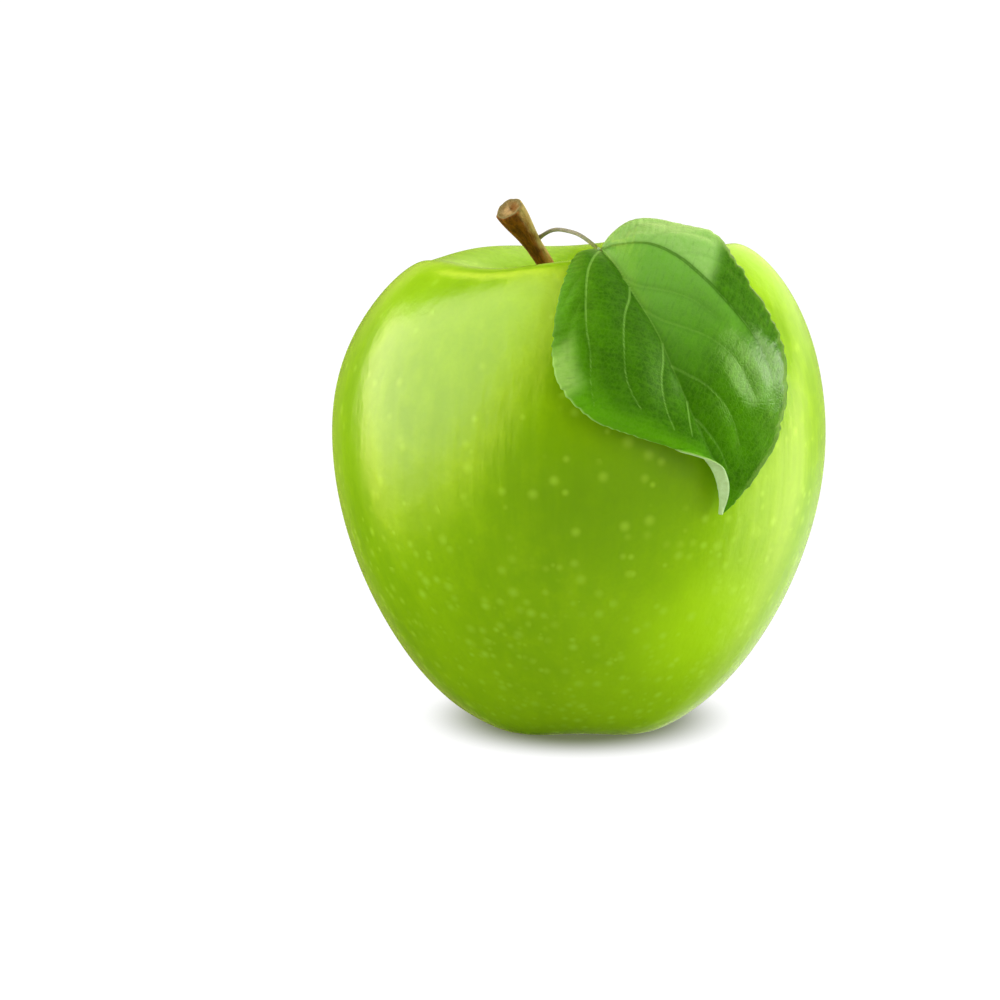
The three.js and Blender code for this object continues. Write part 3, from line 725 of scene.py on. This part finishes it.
def stem_material():
    made, n = material("stem_bark")
    mm = n.place_mm()
    along, end = n.attribute("along"), n.attribute("end")
    rightward, backward = n.attribute("rightward"), n.attribute("backward")
    stretched = n.math("MULTIPLY", along, 0.16)
    grain_place = n.add("ShaderNodeCombineXYZ", {0: rightward, 1: backward, 2: stretched})
    grain = n.noise(grain_place, 3.4, 5.0, 0.65)
    patch = n.noise(mm, 0.5, 3.0)
    # Painted light: the bark paler, tan and rust, on its right side.
    lit_side = n.math("MULTIPLY_ADD", n.math("SUBTRACT", patch, 0.5), 0.9, rightward)
    bark = n.mix(n.ramp(grain, 0.3, 0.7), BARK_DEEP, BARK_RED)
    bark = n.mix(product(n, n.ramp(lit_side, 0.25, 0.95), n.ramp(along, 14, 20, 0.3, 1.0)), bark, BARK_TAN_AND_PAINTED_LIGHT)
    bark = n.mix(product(n, n.ramp(lit_side, -0.2, 0.8), n.ramp(along, 21, 15), 0.75), bark, BARK_RUST_PAINTED_LIGHT)
    # Painted light: tan grain streaks, more on the right side.
    bark = n.mix(product(n, n.ramp(grain, 0.6, 0.8), n.ramp(rightward, -0.3, 0.6), 0.4), bark, BARK_TAN_AND_PAINTED_LIGHT)
    rays = n.noise(mm, 1.5, 4.0)
    wood = n.mix(n.ramp(rays, 0.35, 0.65), WOOD_DARK, WOOD_PALE)
    wood = n.mix(product(n, n.ramp(end, 0.4, 0.9), n.ramp(rightward, 0.5, -0.2)), wood, WOOD_BRIGHT)
    pith = product(n, n.ramp(end, 0.3, 0.75), n.ramp(rightward, -0.1, 0.9), n.ramp(rays, 0.2, 0.5))
    wood = n.mix(pith, wood, WOOD_PITH)
    wood = n.mix(n.ramp(end, 0.45, 0.22), wood, WOOD_RIM)
    colour = n.mix(n.ramp(end, 0.02, 0.12), bark, wood)
    relief = n.math("ADD", n.math("MULTIPLY", grain, 0.3), n.math("MULTIPLY", rays, 0.12))
    finish_material(n, colour, 0.75, relief, 0.9, Specular_IOR_Level=0.2)
    return made


def stalk_material():
    made, n = material("leaf_stalk")
    mm = n.place_mm()
    along = n.attribute("along")
    patch = n.noise(mm, 1.2, 3.0)
    colour = n.mix(n.ramp(along, 12, 24), STALK_GREY, STALK_GREEN)
    colour = n.mix(n.ramp(patch, 0.35, 0.7, 0, 0.3), colour, BARK_TAN_AND_PAINTED_LIGHT)
    finish_material(n, colour, 0.75, patch, 0.3, Specular_IOR_Level=0.15)
    return made


def calyx_material():
    made, n = material("dried_calyx")
    mm = n.place_mm()
    patch = n.noise(mm, 1.1, 4.0, 0.6)
    colour = n.mix(n.ramp(patch, 0.3, 0.7), CALYX_DARK, CALYX_DRY)
    finish_material(n, colour, 0.85, patch, 0.8)
    return made


# ---- pieces ----

def make_fruit():
    around, steps = 320, (16, 56, 40, 44)
    arcs = [bezier(arc, np.linspace(0, 1, k + 1)) for arc, k in zip(meridian(), steps)]
    section = np.concatenate([arcs[0], arcs[1], arcs[2][1:], arcs[3][1:]])
    a = np.linspace(0, 2 * pi, around, endpoint=False)
    r, z = section[:, :1], section[:, 1:]
    rings = grow(np.stack([r * np.cos(a), r * np.sin(a), z + 0 * a], -1))
    normal = grid_normals(np.concatenate([rings, rings[:, :1]], 1))[:, :-1]
    off_foot = smooth(rings[..., 2] / 10) * smooth(np.hypot(rings[..., 0], rings[..., 1]) / 12)
    rings = rings - normal * (SKIN_UNEVENNESS * noise_sum(rings, 14, 30, 3) * off_foot)[..., None]
    bottom, top = rings[0].mean(0) + (0, 0, 0.6), rings[-1].mean(0) - (0, 0, 0.6)
    start = sum(len(arc) for arc in arcs[:3]) - 1
    inward = np.zeros(len(section))
    inward[start:] = np.linspace(0, 1, len(section) - start)
    cavity = np.concatenate([np.repeat(inward, around), [0, 1]])
    points = np.concatenate([rings.reshape(-1, 3), [bottom, top]])
    piece = build("Fruit", points, closed_rings(len(section), around), skin_material(), cavity=cavity)
    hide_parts("fruit")
    return piece


def make_stem():
    rows, around = 150, 72
    t = np.linspace(0, 1, rows)
    path = bezier(STEM_PATH, t)
    a = np.linspace(0, 2 * pi, around, endpoint=False)
    ridges = (0.035 * np.cos(3 * a + 2 * t[:, None]) + 0.025 * np.cos(7 * a - 3 * t[:, None])
              + 0.012 * np.cos(13 * a + 9 * np.sin(5 * t[:, None])))
    radius = stem_radius(t)[:, None] * (1 + ridges)
    shaft = tube(path, radius, around)
    # The cut end: a rounded lip, then end grain sunk towards the pith.
    out = unit(path[-1] - path[-2])
    cap = []
    for share, lift in CUT_END_RINGS:
        wobble = 0.05 * np.cos(9 * a + 20 * share)
        rise = (lift + wobble * (share < 0.8))[..., None]
        cap.append(path[-1] + (shaft[-1] - path[-1]) * share + out * rise)
    points = np.concatenate([shaft.reshape(-1, 3), np.concatenate(cap), [path[0]],
                             [path[-1] - 0.05 * out]])
    length = np.concatenate([[0], np.cumsum(np.linalg.norm(np.diff(path, axis=0), axis=1))])
    along = np.concatenate([np.repeat(length, around), np.full(len(cap) * around + 2, length[-1])])
    rightward = np.concatenate([np.tile(np.cos(a), rows + len(cap)), [0, 0]])
    backward = np.concatenate([np.tile(np.sin(a), rows + len(cap)), [0, 0]])
    inner = np.repeat(np.linspace(0.05, 0.95, len(cap)), around)
    end = np.concatenate([np.zeros(rows * around), inner, [0, 1]])
    faces = closed_rings(rows + len(cap), around)
    piece = build("Stem", points, faces, stem_material(), along=along, rightward=rightward,
                  backward=backward, end=end)
    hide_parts("stem")
    return piece


def make_stalk():
    rows, around = 120, 20
    root = bezier(STEM_PATH, STALK_START)
    root = root + unit(np.array(STALK_SIDE)) * (stem_radius(STALK_START) - 0.2)
    rib_start, _, _ = leaf_sheet(np.array([0.0, 0.03, 0.07, 0.12]), np.zeros(4), 1)
    points = [root, *STALK_ARCH, *(rib_start - LEAF_OUT * [[0.05], [0.2], [0.35], [0.5]])]
    t = np.linspace(0, 1, rows)
    path = spline(points, t, free_ends=True)
    radius = STALK_RADIUS * (1 + 0.35 * (1 - smooth(t / 0.06))) * (1 - 0.5 * smooth((t - 0.7) / 0.3))
    rings = tube(path, radius, around)
    length = np.concatenate([[0], np.cumsum(np.linalg.norm(np.diff(path, axis=0), axis=1))])
    along = np.concatenate([np.repeat(length, around), [0, length[-1]]])
    points = np.concatenate([rings.reshape(-1, 3), [path[0], path[-1]]])
    piece = build("Leaf_stalk", points, closed_rings(rows, around), stalk_material(), along=along)
    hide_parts("leaf_stalk")
    return piece


def valley(distance, depth, half_width):
    return depth * np.exp(-(distance / half_width) ** 2)


def distance_to(plan, lines, taper):
    """Distance in mm of each plan point to the nearest line, more by the taper at the line's far end."""
    best = np.full(len(plan), 99.0)
    t = np.linspace(0, 1, 120)
    for line in lines:
        p = spline(line, t)
        for start in range(0, len(plan), 4000):
            part = plan[start:start + 4000]
            gap = np.linalg.norm(part[:, None] - p[None], axis=-1) + taper * t
            best[start:start + 4000] = np.minimum(best[start:start + 4000], gap.min(1))
    return best


def make_leaf():
    rows, half = 240, 62
    s = np.linspace(0, 1, rows)[:, None] + np.zeros((1, half + 1))
    u = np.zeros((rows, 1)) + np.linspace(0, 1, half + 1)[None]
    left, left_flat, left_in = leaf_sheet(s, u, -1)
    right, right_flat, right_in = leaf_sheet(s, u, 1)
    sheet = np.concatenate([left[:, :0:-1], right], 1)
    flat = np.concatenate([left_flat[:, :0:-1], right_flat], 1)
    inset = np.concatenate([left_in[:, :0:-1], right_in], 1)
    columns = sheet.shape[1]
    plan = flat.reshape(-1, 2)
    rib = distance_to(plan, [RIB], 0.3)
    vein = distance_to(plan, VEINS[:9], 0.14)
    twig = distance_to(plan, VEINS[9:], 0.2) + 0.3
    vein = np.minimum(vein, twig)
    # Grooves along the veins, and the blade swelling up between them.
    swelling = PILLOW_RISE * smooth(np.minimum(rib, vein) / PILLOW_REACH) * smooth(inset.ravel() / 2)
    groove = valley(rib, *RIB_GROOVE) + valley(vein, *VEIN_GROOVE) - swelling
    groove = groove.reshape(rows, columns)
    bump = LEAF_UNEVENNESS * noise_sum(sheet, 16, 6.0, 11) * smooth(inset / 3)
    normal = grid_normals(sheet)
    sheet = sheet - normal * (groove - bump)[..., None]
    thick = LEAF_THICKNESS / 2 * smooth(inset / 0.5 + 0.35)
    upper = sheet + normal * thick[..., None]
    keel = valley(rib, *RIB_KEEL).reshape(rows, columns)
    lower = sheet - normal * (thick + keel)[..., None]
    points = np.concatenate([upper.reshape(-1, 3), lower.reshape(-1, 3)])

    def twice(values):
        return np.tile(values.ravel(), 2)

    under = np.repeat([0, 1], rows * columns)
    edge = spline(VEINS[4], np.linspace(0, 1, 60))
    outer = smooth((flat[..., 0] - np.interp(flat[..., 1], edge[:, 1], edge[:, 0])) / 1.6 + 0.5)
    right_half = np.repeat([0.0, 0.5, 1.0], [half, 1, half]) + np.zeros((rows, 1))
    piece = build("Leaf_blade", points, blade_faces(rows, columns), leaf_material(), under=under,
                  across=twice(flat[..., 0]), along=twice(flat[..., 1]), rib=twice(rib), vein=twice(vein),
                  inset=twice(inset), outer=twice(outer), right=twice(right_half))
    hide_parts("leaf_blade")
    return piece


def make_calyx():
    points, faces = [], []

    def join(new_points, new_faces):
        offset = sum(len(p) for p in points)
        points.append(np.asarray(new_points).reshape(-1, 3))
        faces.extend(tuple(i + offset for i in f) for f in new_faces)

    z = BASIN_DEPTH
    t = np.linspace(0, 1, 24)
    stub = np.stack([0 * t, 0 * t, z + STUB_SUNK - STUB_LENGTH * t], -1)
    rings = tube(stub, STUB_RADIUS - STUB_TAPER * smooth(t * 1.1), 24)
    join(np.concatenate([rings.reshape(-1, 3), [stub[0], stub[-1]]]), closed_rings(24, 24))
    rows, columns = 22, 9
    for k in range(LOBES):
        azimuth = LOBE_PHASE + (k + 0.5) * 2 * pi / LOBES
        t = np.linspace(0, 1, rows)
        start, bend, tip = (np.array([radius, z - drop]) for radius, drop in SEPAL_PATH)
        q = bezier([start, (start + 2 * bend) / 3, (2 * bend + tip) / 3, tip], t)
        width = SEPAL_WIDTH / 2 * np.cos(1.45 * t) * (0.75 + 0.5 * t)
        v = np.linspace(-1, 1, columns)
        r = q[:, :1] + 0 * v
        across = v * width[:, None]
        height = q[:, 1:] - 0.5 * (v ** 2) * t[:, None] + 0.12 * np.sin(9 * t[:, None] + 3 * v + k)
        sheet = np.stack([r * cos(azimuth) - across * sin(azimuth),
                          r * sin(azimuth) + across * cos(azimuth), height], -1)
        normal = grid_normals(sheet)
        half_thick = normal * SEPAL_THICKNESS / 2
        both = np.stack([sheet + half_thick, sheet - half_thick])
        join(both, blade_faces(rows, columns))
    for k in range(STAMENS):
        azimuth, lean = 2 * pi * k / STAMENS + 0.3 * rng.normal(), rng.uniform(0.3, 1.0)
        t = np.linspace(0, 1, 10)
        reach = 0.5 + lean * t ** 2
        height = z - STAMEN_DROP - STAMEN_LENGTH * t
        path = np.stack([reach * cos(azimuth), reach * sin(azimuth), height], -1)
        rings = tube(path, STAMEN_RADIUS + ANTHER_SWELLING * smooth((t - 0.75) / 0.2), 8)
        join(np.concatenate([rings.reshape(-1, 3), [path[0], path[-1]]]), closed_rings(10, 8))
    piece = build("Calyx", np.concatenate(points), faces, calyx_material())
    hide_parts("calyx")
    return piece


for made in (make_fruit(), make_stem(), make_stalk(), make_leaf(), make_calyx()):
    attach(made, "root")


# ---- stage, light and camera ----

def make_sheet(name, corners, made):
    mesh = bpy.data.meshes.new(name)
    mesh.from_pydata([tuple(map(float, corner)) for corner in corners], [], [(0, 1, 2, 3)])
    mesh.materials.append(made)
    sheet = bpy.data.objects.new(name, mesh)
    bpy.context.scene.collection.objects.link(sheet)


def make_card():
    """The small bright card at the right. Only gloss sees it."""
    made, n = material("light_card")
    made.cycles.emission_sampling = "NONE"
    mirrored = n.add("ShaderNodeLightPath", out="Is Glossy Ray")
    glow = n.add("ShaderNodeEmission", {"Color": (*CARD_GLOW, 1), "Strength": 1.0})
    clear = n.add("ShaderNodeBsdfTransparent")
    both = n.add("ShaderNodeMixShader", {0: mirrored, 1: clear, 2: glow})
    n.add("ShaderNodeOutputMaterial", {"Surface": both})
    make_sheet("light_card", place([(CARD_DISTANCE, back, up) for back, up in CARD_CORNERS]), made)


def make_floor():
    """White paper, seen from above only, with a contact shade round the foot. Gloss looks through it."""
    made, n = material("floor_paper")
    made.cycles.emission_sampling = "NONE"
    seen = n.add("ShaderNodeLightPath", out="Is Camera Ray")
    mirrored = n.add("ShaderNodeLightPath", out="Is Glossy Ray")
    parts = n.tree.nodes.new("ShaderNodeSeparateXYZ")
    n.tree.links.new(n.add("ShaderNodeTexCoord", out="Object"), parts.inputs[0])
    bounce = n.ramp(parts.outputs[0], -0.05, 0.05, LEFT_BOUNCE, RIGHT_BOUNCE)
    narrow = CONTACT_NARROWING
    sideways = n.math("MULTIPLY_ADD", parts.outputs[0], narrow / MM, -narrow * AXIS_PLACE[0])
    forwards = n.math("MULTIPLY_ADD", parts.outputs[1], 1 / MM, -AXIS_PLACE[1])
    away = n.add("ShaderNodeCombineXYZ", {0: sideways, 1: forwards})
    reach = n.add("ShaderNodeVectorMath", {0: away}, out="Value", operation="LENGTH")
    shade = n.mix(n.ramp(reach, *CONTACT_REACH), CONTACT_SHADE, (1, 1, 1))
    paper = n.tree.nodes.new("ShaderNodeBsdfPrincipled")
    paper.inputs["Roughness"].default_value = 1.0
    paper.inputs["Specular IOR Level"].default_value = 0.0
    n.tree.links.new(n.mix(seen, FLOOR_COLOUR, FLOOR_SEEN_COLOUR), paper.inputs["Base Color"])
    n.tree.links.new(n.mix(seen, (1, 1, 1), shade), paper.inputs["Emission Color"])
    strength = n.add("ShaderNodeMix", {0: seen, 2: bounce, 3: 1.0})
    n.tree.links.new(strength, paper.inputs["Emission Strength"])
    clear = n.add("ShaderNodeBsdfTransparent")
    from_below = n.add("ShaderNodeNewGeometry", out="Backfacing")
    hidden = n.math("MAXIMUM", mirrored, from_below)
    both = n.add("ShaderNodeMixShader", {0: hidden, 1: paper.outputs[0], 2: clear})
    n.add("ShaderNodeOutputMaterial", {"Surface": both})
    size = 6.0
    make_sheet("floor", [(-size, -size, 0), (size, -size, 0), (size, size, 0), (-size, size, 0)], made)


def make_world():
    """A white studio. What lights the part and what its gloss mirrors are set apart.

    X is to the right of the camera, Y away from it and Z up. A ramp fades its pattern in from the first
    value of a direction to the second.
    """
    world = bpy.data.worlds.new("studio")
    world.use_nodes = True
    world.cycles.sampling_method = "NONE"
    bpy.context.scene.world = world
    n = Nodes(world.node_tree)
    way = n.tree.nodes.new("ShaderNodeSeparateXYZ")
    n.tree.links.new(n.add("ShaderNodeTexCoord", out="Generated"), way.inputs[0])
    x, y, z = way.outputs

    def slope(first, by, second):
        return n.math("MULTIPLY_ADD", second, by, first)

    # Mirrored: a tall window at the left that reaches overhead, with a dark gap before the back wall.
    behind = slope(slope(y, 1.15, z), -0.8, x)
    gap = n.math("MULTIPLY", n.ramp(behind, 1.57, 1.65), n.ramp(x, -0.36, -0.46))
    leaning = slope(x, -0.5, z)
    window = product(n, n.ramp(leaning, -0.52, -0.72), n.math("SUBTRACT", 1.0, gap),
                     n.ramp(slope(y, -0.3, z), 0.6, 0.5), n.ramp(z, -0.6, -0.1))
    core = n.math("MULTIPLY", window, n.ramp(leaning, -0.68, -1.05))
    # At the right a low panel and a side panel, overhead a faint one, and pale walls at the back.
    low_panel = product(n, n.ramp(x, 0.35, 0.6), n.ramp(y, -0.28, 0.0), n.ramp(y, 0.7, 0.5),
                        n.ramp(z, -0.78, -0.25), n.ramp(slope(z, -0.35, y), -0.03, -0.2))
    side_panel = product(n, n.ramp(x, 0.3, 0.5), n.ramp(y, 0.36, 0.46), n.ramp(y, 0.78, 0.72),
                         n.ramp(z, -0.3, -0.1), n.ramp(z, 0.6, 0.4))
    overhead = product(n, n.ramp(x, -0.6, -0.3), n.ramp(x, 0.75, 0.45), n.ramp(y, 0.2, -0.1),
                       n.ramp(z, 0.5, 0.7))
    left_wall = product(n, n.ramp(y, 0.74, 0.88), n.ramp(x, 0.1, -0.2), n.ramp(z, 0.0, 0.2, 0.4, 1.0))
    right_side = n.math("MULTIPLY", n.ramp(y, 0.5, 0.72), n.ramp(x, -0.1, 0.2))
    right_wall = n.math("MULTIPLY", right_side, n.ramp(z, -0.06, 0.08, 0.35, 1.0))
    right_low_wall = product(n, right_side, n.ramp(z, -0.12, -0.28), n.ramp(z, -0.6, -0.38))
    mirrored = n.mix(window, (DIM_GLOW,) * 3, WINDOW_GLOW, "ADD")
    for pattern, glow in ((core, WINDOW_CORE_GLOW), (low_panel, LOW_PANEL_GLOW),
                          (side_panel, SIDE_PANEL_GLOW), (overhead, OVERHEAD_GLOW),
                          (left_wall, LEFT_WALL_GLOW), (right_wall, RIGHT_WALL_GLOW),
                          (right_low_wall, RIGHT_LOW_WALL_GLOW)):
        mirrored = n.mix(pattern, mirrored, glow, "ADD")

    # Lighting, from each side.
    soft = n.ramp(x, -0.3, -0.95, AMBIENT_LIGHT, AMBIENT_LIGHT + LEFT_LIGHT)
    for pattern, light in ((n.ramp(x, 0.3, 0.95), RIGHT_LIGHT), (n.ramp(y, 0.1, 0.9), BACK_LIGHT),
                           (n.ramp(z, 0.1, 0.9), TOP_LIGHT)):
        soft = n.math("MULTIPLY_ADD", pattern, light, soft)

    glossy = n.add("ShaderNodeLightPath", out="Is Glossy Ray")
    seen = n.add("ShaderNodeLightPath", out="Is Camera Ray")
    colour = n.tree.nodes.new("ShaderNodeMix")
    colour.data_type = "RGBA"
    n.tree.links.new(glossy, colour.inputs[0])
    n.tree.links.new(soft, colour.inputs[6])
    n.tree.links.new(mirrored, colour.inputs[7])
    white = n.mix(seen, colour.outputs[2], (1, 1, 1))
    shade = n.add("ShaderNodeBackground", {"Color": white, "Strength": 1.0})
    n.add("ShaderNodeOutputWorld", {"Surface": shade})


def make_camera():
    back = np.array([0, -cos(CAMERA_ELEVATION), sin(CAMERA_ELEVATION)])
    right = np.array([1.0, 0, 0])
    up = np.cross(back, right)
    middle = PICTURE_PIXELS / 2
    aim = right * (middle - FOOT_PIXEL[0]) * MM_PER_PIXEL - up * (middle - FOOT_PIXEL[1]) * MM_PER_PIXEL
    data = bpy.data.cameras.new("camera")
    data.sensor_width = SENSOR
    data.lens = SENSOR * CAMERA_DISTANCE / (PICTURE_PIXELS * MM_PER_PIXEL)
    data.clip_end = 50
    camera = bpy.data.objects.new("camera", data)
    camera.location = place(aim + back * CAMERA_DISTANCE)[0]
    camera.rotation_euler = (pi / 2 - CAMERA_ELEVATION, 0, 0)
    bpy.context.scene.collection.objects.link(camera)
    bpy.context.scene.camera = camera


make_floor()
make_card()
make_world()
make_camera()
bpy.context.scene.view_settings.view_transform = "Standard"
